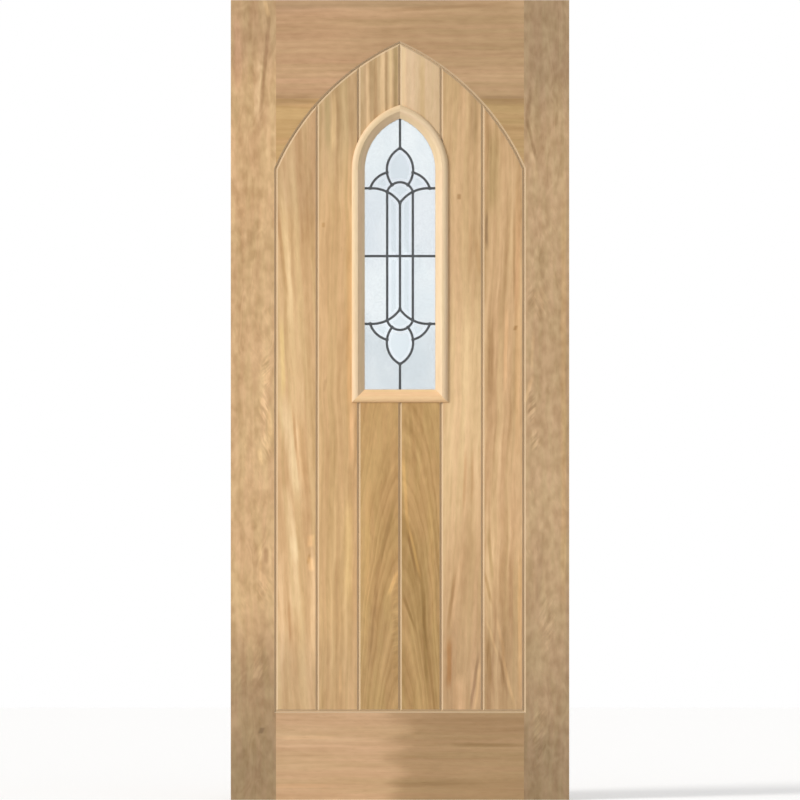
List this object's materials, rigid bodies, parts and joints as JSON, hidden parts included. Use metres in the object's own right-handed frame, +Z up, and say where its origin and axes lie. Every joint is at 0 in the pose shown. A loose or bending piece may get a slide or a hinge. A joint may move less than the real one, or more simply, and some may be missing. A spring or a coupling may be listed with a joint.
{
  "type": "arched wooden door leaf",
  "caption": "Tall rectangular oak door leaf: vee-jointed boards under a pointed arch set in stiles and rails, with a narrow lancet light of leaded bevelled glass.",
  "frame": {"origin": "middle of the leaf's bottom edge, in the middle of its thickness", "axes": "+X to the right seen from the front, +Y from the front face to the back face, +Z up"},
  "size_m": [0.838, 0.062, 1.981],
  "materials": {
    "oak_stiles": "bare pale oak, fine sanded",
    "oak_rails": "bare pale oak, fine sanded",
    "oak_boards": "bare pale oak, fine sanded",
    "oak_mouldings": "bare pale oak, planed",
    "beech_joints": "glued",
    "steel_pins": "bright",
    "clear_panes": "clear",
    "bevelled_glass": "clear, ground bevels",
    "textured_glass": "pale, finely stippled",
    "lead_cames": "dull grey lead, soldered",
    "spacer_aluminium": "mill",
    "unit_sealant": "matte black",
    "glazing_tape": "matte off white",
    "setting_blocks": "matte"
  },
  "bodies": {
    "root": {"back_bead_arch_left": "oak_mouldings", "back_bead_arch_right": "oak_mouldings", "back_bead_bottom": "oak_mouldings", "back_bead_left": "oak_mouldings", "back_bead_right": "oak_mouldings", "bead_pins": "steel_pins", "board_1": "oak_boards", "board_2": "oak_boards", "board_3_lower": "oak_boards", "board_3_upper": "oak_boards", "board_4_lower": "oak_boards", "board_4_upper": "oak_boards", "board_5": "oak_boards", "board_6": "oak_boards", "border_came": "lead_cames", "bottom_rail": "oak_rails", "bottom_rail_dowels": "beech_joints", "bud_lower": "bevelled_glass", "bud_upper": "bevelled_glass", "came_lattice": "lead_cames", "edge_sealant": "unit_sealant", "end_glass_lower_left": "textured_glass", "end_glass_lower_right": "textured_glass", "end_glass_upper_left": "textured_glass", "end_glass_upper_right": "textured_glass", "fan_lower": "bevelled_glass", "fan_upper": "bevelled_glass", "front_bead_arch_left": "oak_mouldings", "front_bead_arch_right": "oak_mouldings", "front_bead_bottom": "oak_mouldings", "front_bead_left": "oak_mouldings", "front_bead_right": "oak_mouldings", "glazing_tape_back": "glazing_tape", "glazing_tape_front": "glazing_tape", "head_dowels": "beech_joints", "head_rail": "oak_rails", "inner_pane": "clear_panes", "left_spandrel": "oak_rails", "left_stile": "oak_stiles", "outer_pane": "clear_panes", "right_spandrel": "oak_rails", "right_stile": "oak_stiles", "setting_blocks": "setting_blocks", "side_glass_lower_left": "textured_glass", "side_glass_lower_right": "textured_glass", "side_glass_upper_left": "textured_glass", "side_glass_upper_right": "textured_glass", "spacer_bar_back": "spacer_aluminium", "spacer_bar_front": "spacer_aluminium", "spandrel_dowels": "beech_joints", "spandrel_splines": "beech_joints", "strip_lower_left": "bevelled_glass", "strip_lower_right": "bevelled_glass", "strip_upper_left": "bevelled_glass", "strip_upper_right": "bevelled_glass", "wing_lower_left": "bevelled_glass", "wing_lower_right": "bevelled_glass", "wing_upper_left": "bevelled_glass", "wing_upper_right": "bevelled_glass"}
  },
  "joints": []
}
